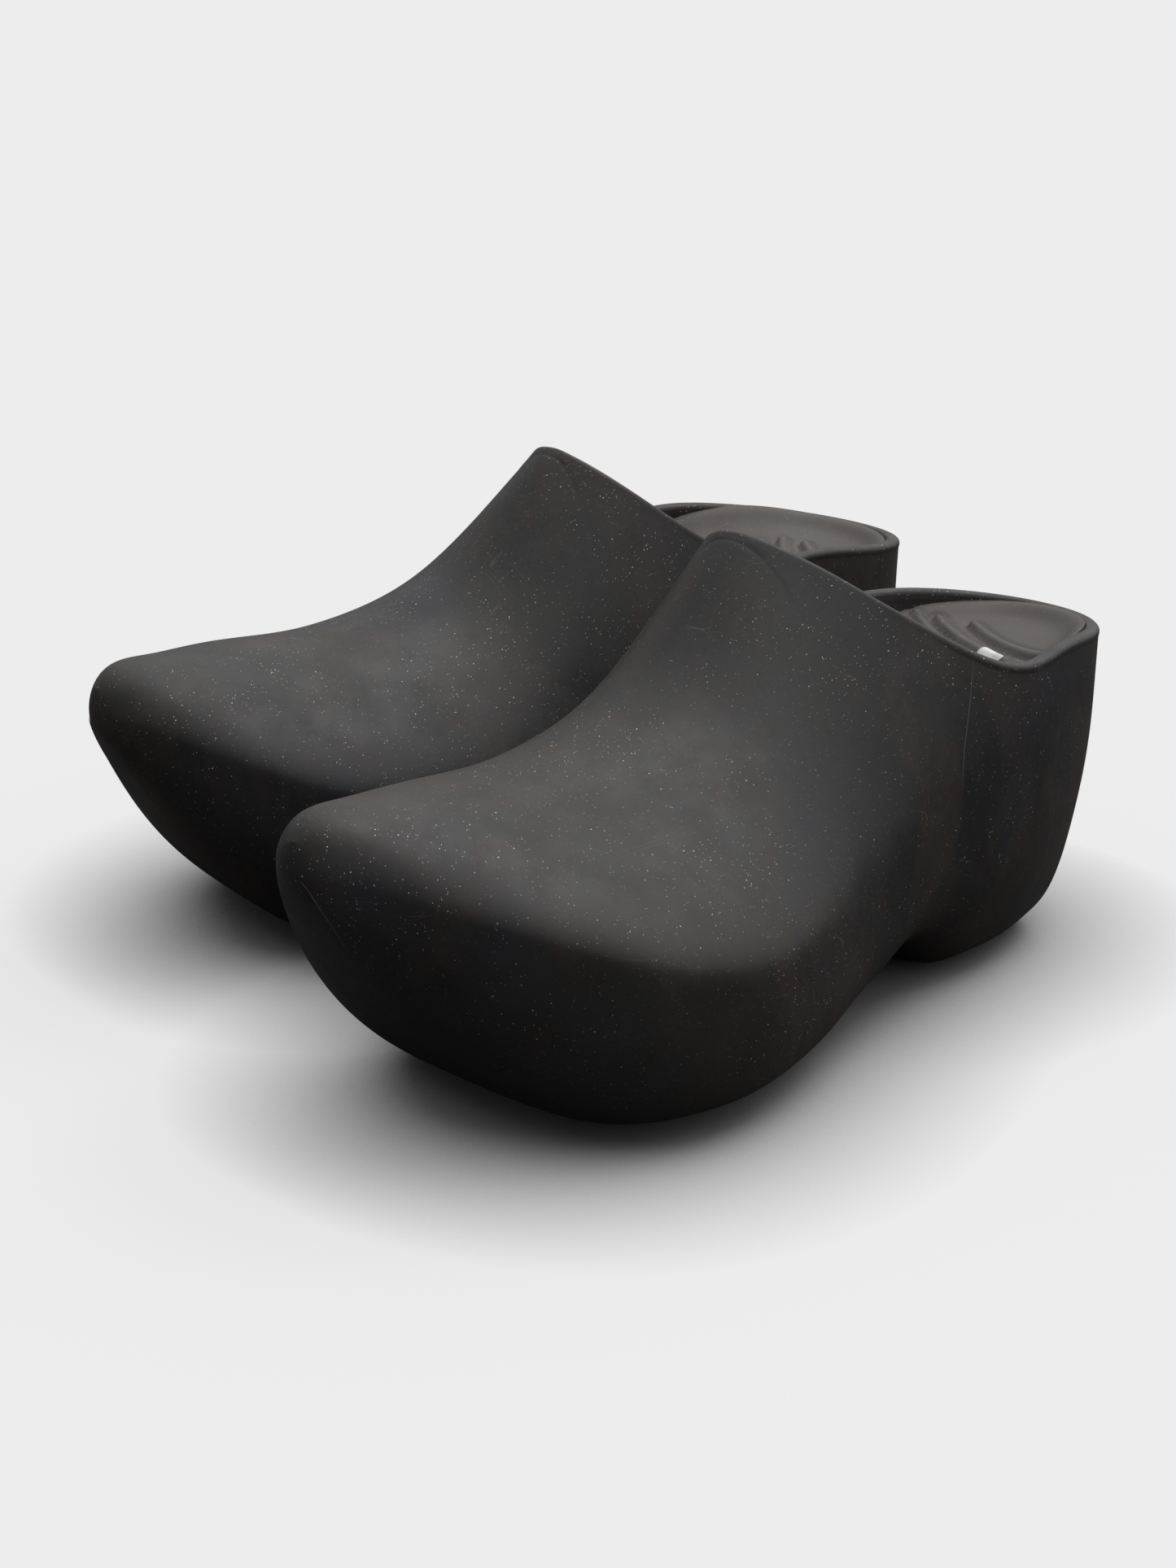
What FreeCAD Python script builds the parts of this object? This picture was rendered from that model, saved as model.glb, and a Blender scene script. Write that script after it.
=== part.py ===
import FreeCAD, Part
import math
import os

# A pair of one-piece rubber garden clogs: a left and a right one, mirror images.
# Each clog is modelled once in its own frame (millimetres): toe towards -Y, heel
# towards +Y, outer (little-toe) side +X, sole on z = 0. The pair frame has its
# origin on the ground at the middle of the pair's bounding box, +Z up.

# ---------------------------------------------------------------- driving sizes
TOE_Y = -150.0            # front of the toe
HEEL_Y = 150.0            # back of the heel before it leans
WALL = 4.5                # rubber wall thickness
SOLE_SKIN = 7.5           # rubber thickness under the foam core
FIT_GAP = 0.4             # clearance between the loose inner pieces and the shell
INSOLE_THICK = 5.0        # footbed thickness
LIFT_GAP = 0.4            # clearance between footbed and foam core

# stations along the clog where the cross-section is stated
SECTION_Y = (-150, -125, -95, -60, -25, 10, 45, 80, 115, 150)
OUTER_HALF_WIDTH = (23, 50, 66.5, 73, 66.5, 58, 54.5, 51, 41.5, 32.5)
INNER_HALF_WIDTH = (25.5, 42, 52, 55, 53, 45.5, 38.5, 34.5, 32.5, 30)
TOP_Z = (109, 95, 91, 91, 103.5, 136.5, 167.5, 186.5, 193, 185)
WIDEST_Z = (75, 65, 56, 47, 45, 46, 58, 76, 93, 103)
CENTRE_X = (-3, -2, 0, 0, 0, -2, -2, 3.5, 4, 5.5)
UPPER_PX = (1.00, 1.06, 1.11, 1.14, 1.14, 1.11, 1.07, 1.05, 1.02, 0.97)
UPPER_PZ = (1.32, 1.38, 1.43, 1.47, 1.54, 1.56, 1.49, 1.28, 1.04, 0.82)
LOWER_PX = (0.73, 0.63, 0.55, 0.48, 0.49, 0.52, 0.50, 0.45, 0.45, 0.44)
LOWER_PZ = (0.77, 0.71, 0.64, 0.57, 0.57, 0.62, 0.64, 0.64, 0.65, 0.70)

# underside: toe spring, flat forefoot, arch notch, flat heel
UNDER_Y = (-150, -125, -95, -60, -20, 15, 40, 50, 56, 70, 150)
UNDER_Z = (34, 15, 4.5, 1, 1.5, 7, 13.5, 8, 1.5, 1, 1)

# rounding of the toe and heel in plan and in side view
NOSE_Z = 80.5
NOSE_LENGTH = 64.0
NOSE_N_PLAN = 2.0
NOSE_N_TOP = 2.2
NOSE_N_UNDER = 1.55
HEEL_LENGTH = 39.0
HEEL_N_PLAN = 2.1
# the back of the heel leans outwards: y of the back face at each height
BACK_Z = (0, 13, 52, 87, 200)
BACK_Y = (119, 125, 146, 149.5, 153)

# topline: throat point, then the height of the collar towards the heel
COLLAR_Y = (8, 40, 70, 95, 120, 165)
COLLAR_Z = (139, 113.5, 96.5, 97, 94, 87)

# footbed top: y and height of the straight runs under the foot
BED_Y = (-200, -105, -55, 5, 65, 110, 200)
BED_Z = (50, 41, 38, 50, 76, 84.5, 87)
HEEL_DISH_RADIUS = 110.0  # sideways hollow of the footbed under the heel
INSOLE_EASE = 11.0        # extra side clearance of the footbed under the vamp

# tread pads under the sole
PAD_THICK = 4.0
PAD_GAP = 0.2
FORE_PAD = (8.0, -51.0, 32.0, 66.0)       # centre x, y, half width, length
HEEL_PAD = (5.0, 88.0, 25.0, 46.0)

LABEL = (20.0, 14.0, 0.6)                 # blank size label: length, width, thickness
LABEL_PLACE = (11.0, 99.0, 59.0)           # x, y and turn on the footbed

# where the two clogs stand on the ground: x, y and turn about the vertical
LEFT_PLACE = (62.61, -18.78, 0.0)
RIGHT_PLACE = (-51.09, 19.92, -10.5)

os.makedirs("parts", exist_ok=True)
V = FreeCAD.Vector


def profile(knots, values, at):
    """Smooth curve through the stated values, level with its neighbours' trend."""
    steps = [b - a for a, b in zip(knots, knots[1:])]
    slopes = [(v1 - v0) / h for v0, v1, h in zip(values, values[1:], steps)]
    tangents = [slopes[0]]
    for h0, h1, d0, d1 in zip(steps, steps[1:], slopes, slopes[1:]):
        tangents.append((d0 * h1 + d1 * h0) / (h0 + h1))
    tangents.append(slopes[-1])
    at = min(max(at, knots[0]), knots[-1])
    i = 0
    while i < len(steps) - 1 and at > knots[i + 1]:
        i += 1
    h = steps[i]
    t = (at - knots[i]) / h
    blend = t * t * (3.0 - 2.0 * t)
    value = values[i] * (1.0 - blend) + values[i + 1] * blend
    value += h * tangents[i] * t * (1.0 - t) ** 2
    value -= h * tangents[i + 1] * t * t * (1.0 - t)
    return value


def cap(s, n):
    """Rounded end: 1 at s = 0, falling to 0 at s = 1."""
    s = min(max(s, 0.0), 1.0)
    return (1.0 - s ** n) ** (1.0 / n)


def section(y, wall, sole, ease):
    """Half widths, heights and corner shapes of the cross-section at y."""
    toe = min(max((TOE_Y + NOSE_LENGTH - y) / (NOSE_LENGTH - wall), 0.0), 1.0)
    heel = min(max((y - HEEL_Y + HEEL_LENGTH) / (HEEL_LENGTH - wall), 0.0), 1.0)
    plan = cap(toe, NOSE_N_PLAN) * cap(heel, HEEL_N_PLAN)
    top_z = profile(SECTION_Y, TOP_Z, y) - 1.25 * wall
    low_z = profile(UNDER_Y, UNDER_Z, y) + sole
    mid_z = profile(SECTION_Y, WIDEST_Z, y)
    side = wall + profile((-150, 20, 95, 150), (ease, ease, 0.0, 0.0), y)
    cap_top = cap(toe, NOSE_N_TOP)
    cap_low = cap(toe, NOSE_N_UNDER)
    return {
        "out": (profile(SECTION_Y, OUTER_HALF_WIDTH, y) - side) * plan,
        "inn": (profile(SECTION_Y, INNER_HALF_WIDTH, y) - side) * plan,
        "top": NOSE_Z + (top_z - NOSE_Z) * cap_top,
        "low": NOSE_Z + (low_z - NOSE_Z) * cap_low,
        "mid": NOSE_Z + (mid_z - NOSE_Z) * min(cap_top, cap_low),
        "cx": profile(SECTION_Y, CENTRE_X, y),
        "pxu": profile(SECTION_Y, UPPER_PX, y),
        "pzu": profile(SECTION_Y, UPPER_PZ, y),
        "pxl": profile(SECTION_Y, LOWER_PX, y),
        "pzl": profile(SECTION_Y, LOWER_PZ, y),
    }


def lean(y, z, wall):
    """Shift the rounded heel end so that its back face leans outwards."""
    start = HEEL_Y - HEEL_LENGTH
    if y <= start:
        return y
    back = profile(BACK_Z, BACK_Y, z) - wall
    straight = HEEL_Y - wall
    return start + (y - start) * (back - start) / (straight - start)


def stations(wall):
    """Section positions, close together at the rounded toe and heel."""
    nose_end = TOE_Y + NOSE_LENGTH
    heel_start = HEEL_Y - HEEL_LENGTH
    count = 9
    places = []
    for i in range(count):
        angle = math.pi / 2 * (1.0 - i / float(count - 1))
        places.append(nose_end - (NOSE_LENGTH - wall) * 0.997 * math.sin(angle))
    middle = 16
    for i in range(1, middle):
        places.append(nose_end + (heel_start - nose_end) * i / float(middle))
    for i in range(count):
        angle = math.pi / 2 * i / float(count - 1)
        places.append(heel_start + (HEEL_LENGTH - wall) * math.sin(angle))
    return places


def half_skin(side, wall, sole, ease):
    """One side of the closed outer form, from the sole's middle to the ridge."""
    rows = []
    places = stations(wall)
    count = 14
    for index, y in enumerate(places):
        form = section(y, wall, sole, ease)
        row = []
        closed = index == 0 or index == len(places) - 1
        for j in range(count + 1):
            angle = math.pi * (j / float(count) - 0.5)
            c = max(math.cos(angle), 0.0)
            s = abs(math.sin(angle))
            half = form["out"] if side > 0 else form["inn"]
            if closed or j == 0 or j == count:
                half = 0.0
            if angle >= 0.0:
                x = half * c ** form["pxu"]
                z = form["mid"] + (form["top"] - form["mid"]) * s ** form["pzu"]
            else:
                x = half * c ** form["pxl"]
                z = form["mid"] - (form["mid"] - form["low"]) * s ** form["pzl"]
            row.append(V(form["cx"] + side * x, lean(y, z, wall), z))
        rows.append(row)
    surface = Part.BSplineSurface()
    u_knots = list(range(len(rows) - 2))
    v_knots = list(range(count - 1))
    u_mults = [4] + [1] * (len(u_knots) - 2) + [4]
    v_mults = [4] + [1] * (len(v_knots) - 2) + [4]
    surface.buildFromPolesMultsKnots(rows, u_mults, v_mults, u_knots, v_knots, False, False, 3, 3)
    return surface.toShape()


def closed_form(wall, sole, ease):
    """Solid bounded by the outer-side and inner-side skins."""
    skins = Part.makeShell([half_skin(1, wall, sole, ease), half_skin(-1, wall, sole, ease)])
    skins.sewShape(0.01)
    solid = Part.makeSolid(Part.Shell(skins.Faces))
    if solid.Volume < 0:
        solid.reverse()
    return solid


def bed_height(x, y, drop):
    """Height of the footbed's top, less the stated drop, with its hollow heel."""
    hollow = profile((-60, 60, 90, 170), (0.0, 0.0, 1.0, 1.0), y)
    return profile(BED_Y, BED_Z, y) + hollow * x * x / (2.0 * HEEL_DISH_RADIUS) - drop


def under_surface(drop):
    """Solid below the footbed surface, larger than the clog in plan."""
    xs = [-120.0 + 20.0 * i for i in range(13)]
    ys = [-190.0 + 15.0 * i for i in range(26)]
    rows = [[V(x, y, bed_height(x, y, drop)) for x in xs] for y in ys]
    surface = Part.BSplineSurface()
    u_knots = list(range(len(ys) - 2))
    v_knots = list(range(len(xs) - 2))
    u_mults = [4] + [1] * (len(u_knots) - 2) + [4]
    v_mults = [4] + [1] * (len(v_knots) - 2) + [4]
    surface.buildFromPolesMultsKnots(rows, u_mults, v_mults, u_knots, v_knots, False, False, 3, 3)
    return surface.toShape().extrude(V(0, 0, -400))


def above_topline():
    """Everything above the collar edge behind the throat."""
    curve = Part.BSplineCurve()
    points = [V(-120, y, z) for y, z in zip(COLLAR_Y, COLLAR_Z)]
    curve.interpolate(points)
    corner_back = V(-120, COLLAR_Y[-1], 260)
    corner_front = V(-120, COLLAR_Y[0], 260)
    edges = [
        curve.toShape(),
        Part.makeLine(points[-1], corner_back),
        Part.makeLine(corner_back, corner_front),
        Part.makeLine(corner_front, points[0]),
    ]
    return Part.Face(Part.Wire(edges)).extrude(V(240, 0, 0))


def pad_blank(place, low_z, high_z, grow):
    """Oval tread pad block with rounded corners."""
    x, y, half, length = place
    block = Part.makeBox(2 * (half + grow), length + 2 * grow, high_z - low_z)
    block.translate(V(x - half - grow, y - length / 2 - grow, low_z))
    upright = [e for e in block.Edges if abs(e.tangentAt(e.FirstParameter).z) > 0.99]
    return block.makeFillet(18.0 + grow, upright)


def place_clog(shape, mirrored, place):
    """Move a piece from the clog's own frame to where it stands in the pair."""
    x, y, turn = place
    moved = shape.mirror(V(0, 0, 0), V(1, 0, 0)) if mirrored else shape.copy()
    moved.rotate(V(0, 0, 0), V(0, 0, 1), turn)
    moved.translate(V(x, y, 0))
    return moved


# ---------------------------------------------------------------- one clog
outer = closed_form(0.0, 0.0, 0.0)
cavity = closed_form(WALL, SOLE_SKIN, 0.0)
fore_pad = pad_blank(FORE_PAD, 0.0, PAD_THICK, 0.0)
heel_pad = pad_blank(HEEL_PAD, 0.0, PAD_THICK, 0.0)
shell = outer.cut(cavity).cut(above_topline())
shell = shell.cut(pad_blank(FORE_PAD, -20.0, PAD_THICK, PAD_GAP))
shell = shell.cut(pad_blank(HEEL_PAD, -20.0, PAD_THICK, PAD_GAP))

filler = closed_form(WALL + FIT_GAP, SOLE_SKIN + FIT_GAP, 0.0)
core = filler.common(under_surface(INSOLE_THICK + LIFT_GAP))
loose = closed_form(WALL + 3 * FIT_GAP, SOLE_SKIN + 2 * FIT_GAP, INSOLE_EASE)
insole = loose.common(under_surface(0.0)).cut(under_surface(INSOLE_THICK))

# blank size label, laid flat in a shallow seat on the footbed
label_x, label_y, label_turn = LABEL_PLACE
length, width, thick = LABEL
label_z = bed_height(label_x, label_y, 0.0)
label = Part.makeBox(length, width, thick, V(-length / 2, -width / 2, -thick + 0.2))
seat = Part.makeBox(length, width, 20.0, V(-length / 2, -width / 2, -thick + 0.2))
for block in (label, seat):
    block.rotate(V(0, 0, 0), V(0, 0, 1), label_turn)
    block.rotate(V(0, 0, 0), V(0, 1, 0), -math.degrees(label_x / HEEL_DISH_RADIUS))
    block.translate(V(label_x, label_y, label_z))
left_insole = insole.cut(seat)

# ---------------------------------------------------------------- the pair
nodes = {}
for side, mirrored, place in (("left", False, LEFT_PLACE), ("right", True, RIGHT_PLACE)):
    nodes[side + "_shell"] = place_clog(shell, mirrored, place)
    nodes[side + "_midsole_core"] = place_clog(core, mirrored, place)
    footbed = insole if mirrored else left_insole
    nodes[side + "_insole"] = place_clog(footbed, mirrored, place)
    nodes[side + "_forefoot_outsole"] = place_clog(fore_pad, mirrored, place)
    nodes[side + "_heel_outsole"] = place_clog(heel_pad, mirrored, place)
nodes["left_size_label"] = place_clog(label, False, LEFT_PLACE)

box = FreeCAD.BoundBox()
for name, shape in nodes.items():
    solid = shape.Solids[0]
    solid.exportStep("parts/" + name + ".step")
    box.add(solid.BoundBox)
    print(name, len(shape.Solids), solid.isValid(), round(solid.Volume / 1000.0, 1), "cm3")
print("pair box", box)
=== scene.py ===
import math

import bmesh
import bpy
import numpy as np
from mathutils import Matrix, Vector


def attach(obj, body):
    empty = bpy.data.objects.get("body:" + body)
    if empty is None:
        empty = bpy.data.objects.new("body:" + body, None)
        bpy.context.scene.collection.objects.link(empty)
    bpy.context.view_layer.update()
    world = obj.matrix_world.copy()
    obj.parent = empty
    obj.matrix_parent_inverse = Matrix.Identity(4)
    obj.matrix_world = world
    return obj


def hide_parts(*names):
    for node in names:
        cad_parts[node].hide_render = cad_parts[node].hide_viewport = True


# A pair of black rubber garden clogs. Everything is worked out in one clog's own frame in
# millimetres (toe at -Y, outer side +X, sole near z = 0), then placed for each side.

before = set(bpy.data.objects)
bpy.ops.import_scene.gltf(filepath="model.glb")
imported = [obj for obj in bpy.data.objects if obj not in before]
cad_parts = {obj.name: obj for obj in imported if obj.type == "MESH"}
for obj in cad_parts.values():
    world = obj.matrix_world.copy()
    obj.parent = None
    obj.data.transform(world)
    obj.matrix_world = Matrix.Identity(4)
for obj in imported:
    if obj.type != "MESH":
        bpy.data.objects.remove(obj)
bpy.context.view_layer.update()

# ------------------------------------------------------------------ sizes, as in the CAD
TOE_Y, HEEL_Y = -150.0, 150.0
WALL = 4.5                 # thickness of the rubber
# cross-sections from toe to heel: half widths, heights, middle line and superellipse powers
SECTION_Y = (-150, -125, -95, -60, -25, 10, 45, 80, 115, 150)
OUTER_HALF_WIDTH = (23, 50, 66.5, 73, 66.5, 58, 54.5, 51, 41.5, 32.5)
INNER_HALF_WIDTH = (25.5, 42, 52, 55, 53, 45.5, 38.5, 34.5, 32.5, 30)
TOP_Z = (109, 95, 91, 91, 103.5, 136.5, 167.5, 186.5, 193, 185)
WIDEST_Z = (75, 65, 56, 47, 45, 46, 58, 76, 93, 103)
CENTRE_X = (-3, -2, 0, 0, 0, -2, -2, 3.5, 4, 5.5)
UPPER_PX = (1.00, 1.06, 1.11, 1.14, 1.14, 1.11, 1.07, 1.05, 1.02, 0.97)
UPPER_PZ = (1.32, 1.38, 1.43, 1.47, 1.54, 1.56, 1.49, 1.28, 1.04, 0.82)
LOWER_PX = (0.73, 0.63, 0.55, 0.48, 0.49, 0.52, 0.50, 0.45, 0.45, 0.44)
LOWER_PZ = (0.77, 0.71, 0.64, 0.57, 0.57, 0.62, 0.64, 0.64, 0.65, 0.70)
# underside: toe spring, ball, arch notch and heel block
UNDER_Y = (-150, -125, -95, -60, -20, 15, 40, 50, 56, 70, 150)
UNDER_Z = (34, 15, 4.5, 1, 1.5, 7, 13.5, 8, 1.5, 1, 1)
# rounding of the toe and the heel, and the lean of the heel's back
NOSE_Z, NOSE_LENGTH = 80.5, 64.0
NOSE_N_PLAN, NOSE_N_TOP, NOSE_N_UNDER = 2.0, 2.2, 1.55
HEEL_LENGTH, HEEL_N_PLAN = 39.0, 2.1
BACK_Z = (0, 13, 52, 87, 200)
BACK_Y = (119, 125, 146, 149.5, 153)
# collar line and footbed, as heights along the clog
COLLAR_Y = (8, 40, 70, 95, 120, 165)
COLLAR_Z = (139, 113.5, 96.5, 97, 94, 87)
BED_Y = (-200, -105, -55, 5, 65, 110, 200)
BED_Z = (50, 41, 38, 50, 76, 84.5, 87)
HOLLOW_Y, HOLLOW_SHARE = (-60, 60, 90, 170), (0, 0, 1, 1)     # where the bed is dished
HEEL_DISH_RADIUS = 110.0
INSOLE_THICK = 5.0
INSOLE_EASE = 11.0         # the footbed is this much narrower per side under the vamp
# fullness that the CAD leaves out: the shoulder between top and side, the bed's raised back
SHOULDER_ROLL = 1.2
BED_BACK_Y, BED_BACK_CURVE = 104, 600
# x, y, turn in degrees and mirror sign of each clog
PLACES = {"left": (62.61, -18.78, 0.0, 1), "right": (-51.09, 19.92, -10.5, -1)}

NOSE_END = TOE_Y + NOSE_LENGTH
HEEL_START = HEEL_Y - HEEL_LENGTH
HALF_PI = math.pi / 2


# ------------------------------------------------------------------ the clog's form
def profile(knots, values, at):
    """Smooth curve through the stated values (the same one as in the CAD)."""
    k = np.asarray(knots, float)
    v = np.asarray(values, float)
    h = np.diff(k)
    d = np.diff(v) / h
    m = np.concatenate([[d[0]], (d[:-1] * h[1:] + d[1:] * h[:-1]) / (h[:-1] + h[1:]), [d[-1]]])
    at = np.clip(np.asarray(at, float), k[0], k[-1])
    i = np.clip(np.searchsorted(k, at, side="left") - 1, 0, len(k) - 2)
    t = (at - k[i]) / h[i]
    b = t * t * (3 - 2 * t)
    bend = h[i] * (m[i] * t * (1 - t) ** 2 - m[i + 1] * t * t * (1 - t))
    return v[i] * (1 - b) + v[i + 1] * b + bend


def smooth(low, high, x):
    """Soft step from 0 at low to 1 at high."""
    t = np.clip((np.asarray(x, float) - low) / (high - low), 0, 1)
    return t * t * (3 - 2 * t)


def cap(s, n):
    """Superellipse quarter: 1 at s = 0, falling to 0 at s = 1."""
    return (1 - np.clip(s, 0, 1) ** n) ** (1 / n)


def skin(y, side, phi):
    """Point on the outer skin: side is 1 (outer) or -1 (inner), phi runs from the sole's
    middle (-pi/2) over the widest level (0) to the ridge (pi/2)."""
    y, side, phi = np.broadcast_arrays(*(np.asarray(a, float) for a in (y, side, phi)))
    toe = np.clip((NOSE_END - y) / NOSE_LENGTH, 0, 1)
    heel = np.clip((y - HEEL_START) / HEEL_LENGTH, 0, 1)
    plan = cap(toe, NOSE_N_PLAN) * cap(heel, HEEL_N_PLAN)
    half = np.where(side > 0, profile(SECTION_Y, OUTER_HALF_WIDTH, y),
                    profile(SECTION_Y, INNER_HALF_WIDTH, y)) * plan
    cap_top, cap_low = cap(toe, NOSE_N_TOP), cap(toe, NOSE_N_UNDER)
    top = NOSE_Z + (profile(SECTION_Y, TOP_Z, y) - NOSE_Z) * cap_top
    low = NOSE_Z + (profile(UNDER_Y, UNDER_Z, y) - NOSE_Z) * cap_low
    mid = NOSE_Z + (profile(SECTION_Y, WIDEST_Z, y) - NOSE_Z) * np.minimum(cap_top, cap_low)
    c = np.maximum(np.cos(phi), 0)
    s = np.abs(np.sin(phi))
    upper = phi >= 0
    across = np.where(upper, profile(SECTION_Y, UPPER_PX, y), profile(SECTION_Y, LOWER_PX, y))
    power = np.where(upper, profile(SECTION_Y, UPPER_PZ, y), profile(SECTION_Y, LOWER_PZ, y))
    x = half * c ** across
    roll = np.where(upper, SHOULDER_ROLL * np.maximum(power - 1, 0) * s * (1 - s) ** 4, 0)
    z = mid + np.where(upper, top - mid, low - mid) * (s ** power + roll)
    back = profile(BACK_Z, BACK_Y, z)
    leaned = HEEL_START + (y - HEEL_START) * (back - HEEL_START) / HEEL_LENGTH
    yy = np.where(y > HEEL_START, leaned, y)
    return np.stack([profile(SECTION_Y, CENTRE_X, y) + side * x, yy, z], -1)


def unit(v):
    """Vectors brought to length 1."""
    return v / np.maximum(np.linalg.norm(v, axis=-1, keepdims=True), 1e-9)


STEP_Y, STEP_PHI = 0.2, 0.02               # steps for the skin's slopes
KEEP_PHI, KEEP_TOE, KEEP_HEEL = 0.06, 0.6, 0.25    # slopes are taken this far inside the ends


def skin_normal(y, side, phi):
    """Outward direction of the skin, with no sideways part on the middle plane."""
    y, side, phi = np.broadcast_arrays(*(np.asarray(a, float) for a in (y, side, phi)))
    inside = np.clip(phi, -HALF_PI + KEEP_PHI, HALF_PI - KEEP_PHI)
    yc = np.clip(y, TOE_Y + KEEP_TOE, HEEL_Y - KEEP_HEEL)
    dy = skin(yc + STEP_Y, side, inside) - skin(yc - STEP_Y, side, inside)
    dp = skin(yc, side, inside + STEP_PHI) - skin(yc, side, inside - STEP_PHI)
    n = unit(np.cross(dp, dy)) * -side[..., None]
    middle = (np.abs(phi) > HALF_PI - 1e-6) | (y > HEEL_Y - 0.01) | (y < TOE_Y + 0.01)
    n[..., 0] = np.where(middle, 0, n[..., 0])
    return unit(n)


def collar_level(y, lower):
    """Height of the collar line, moved down along the skin by lower."""
    slope = profile(COLLAR_Y, COLLAR_Z, y + 0.5) - profile(COLLAR_Y, COLLAR_Z, y - 0.5)
    return profile(COLLAR_Y, COLLAR_Z, y) - lower * np.sqrt(1 + slope ** 2)


HALVINGS = 40                              # steps of each search by halving


def throat_station(lower):
    """Station at which the ridge of the vamp meets the collar line."""
    low, high = -20.0, 60.0
    for _ in range(HALVINGS):
        mid = (low + high) / 2
        if float(skin(mid, 1, HALF_PI)[2]) > float(collar_level(np.float64(mid), lower)):
            high = mid
        else:
            low = mid
    return low


def collar_phi(y, lower=0.0):
    """phi at which each side of the skin meets the collar line, pi/2 before the throat."""
    y = np.asarray(y, float)
    throat = throat_station(lower)
    out = []
    for side in (1, -1):
        low, high = np.full(y.shape, -HALF_PI), np.full(y.shape, HALF_PI)
        for _ in range(HALVINGS):
            mid = (low + high) / 2
            p = skin(y, side, mid)
            above = p[..., 2] > collar_level(p[..., 1], lower)
            low, high = np.where(above, low, mid), np.where(above, mid, high)
        out.append(np.where(y <= throat + 1e-6, HALF_PI, low))
    return out


def bed_height(x, y):
    """Height of the plain footbed: long curve, dished heel and raised back."""
    hollow = profile(HOLLOW_Y, HOLLOW_SHARE, y)
    back = np.maximum(y - BED_BACK_Y, 0) ** 2 / BED_BACK_CURVE
    return profile(BED_Y, BED_Z, y) + hollow * x * x / (2 * HEEL_DISH_RADIUS) + back


# ------------------------------------------------------------------ mesh helpers
def placed(points, which):
    """Clog-frame millimetres to the pair's frame in metres."""
    px, py, turn, mirror = PLACES[which]
    a = math.radians(turn)
    p = np.array(points, float).reshape(-1, 3)
    x, y = p[:, 0] * mirror, p[:, 1].copy()
    return np.stack([px + x * math.cos(a) - y * math.sin(a),
                     py + x * math.sin(a) + y * math.cos(a), p[:, 2]], 1) / 1000


def make_piece(name, which, points, faces, levels, material):
    """Smooth-shaded mesh object from clog-frame points; levels subdivides it."""
    mesh = bpy.data.meshes.new(name)
    mesh.from_pydata(placed(points, which).tolist(), [], faces)
    work = bmesh.new()
    work.from_mesh(mesh)
    bmesh.ops.recalc_face_normals(work, faces=work.faces)
    work.to_mesh(mesh)
    work.free()
    mesh.polygons.foreach_set("use_smooth", [True] * len(mesh.polygons))
    mesh.update()
    piece = bpy.data.objects.new(name, mesh)
    bpy.context.scene.collection.objects.link(piece)
    if levels:
        sub = piece.modifiers.new("smooth", "SUBSURF")
        sub.levels = sub.render_levels = levels
    mesh.materials.append(material)
    return piece


def strip(a, b, closed):
    """Quads between two equally long index rows."""
    n = len(a)
    last = n if closed else n - 1
    return [(a[i], a[(i + 1) % n], b[(i + 1) % n], b[i]) for i in range(last)]


# ------------------------------------------------------------------ one-piece rubber shell
COLUMNS = 22               # cells per side from the sole's middle to the ridge or collar
NOSE_ROWS, FRONT_ROWS, BACK_ROWS, HEEL_ROWS = 9, 16, 20, 8
NOSE_REACH = 0.86          # the nose rows cover this part of the quarter turn to the tip
RIM_DEPTH = 0.5            # height of the rounded rim as a part of its width
RIM_DROP = 3.4             # the skin ends this far below the collar line, the rim fills the rest
RIM_BASE = 1.3             # the rim's profile is measured from this far above the skin's end
RIM_WIDTH, RIM_BEAD = 3.9, 0.7             # width at the throat, and what the heel adds
BEAD_FROM, BEAD_TO = 22, 62                # stations between which the rim grows


def shell_rows(throat):
    """Stations from toe to heel, close together at the toe, the throat and the heel."""
    turn = HALF_PI * NOSE_REACH / NOSE_ROWS
    nose = [NOSE_END - NOSE_LENGTH * math.sin(turn * i) for i in range(NOSE_ROWS, 0, -1)]
    front = [i / FRONT_ROWS for i in range(FRONT_ROWS, -1, -1)]
    front = [throat - (throat - NOSE_END) * (0.10 * t + 0.90 * t * t) for t in front]
    back = [i / BACK_ROWS for i in range(1, BACK_ROWS + 1)]
    back = [throat + (HEEL_START - throat) * (0.08 * t + 0.92 * t * t) for t in back]
    turn = HALF_PI / HEEL_ROWS
    heel = [HEEL_START + HEEL_LENGTH * math.sin(turn * i) for i in range(1, HEEL_ROWS + 1)]
    return [TOE_Y] + nose + front + back + heel


def column_phi(u, cut):
    """phi of a column, u from 0 at the sole to 1 at the top; cut is what the collar takes off."""
    return -HALF_PI + math.pi * u - cut * u ** (1 + 9 / (1 + (cut / 0.35) ** 2))


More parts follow.
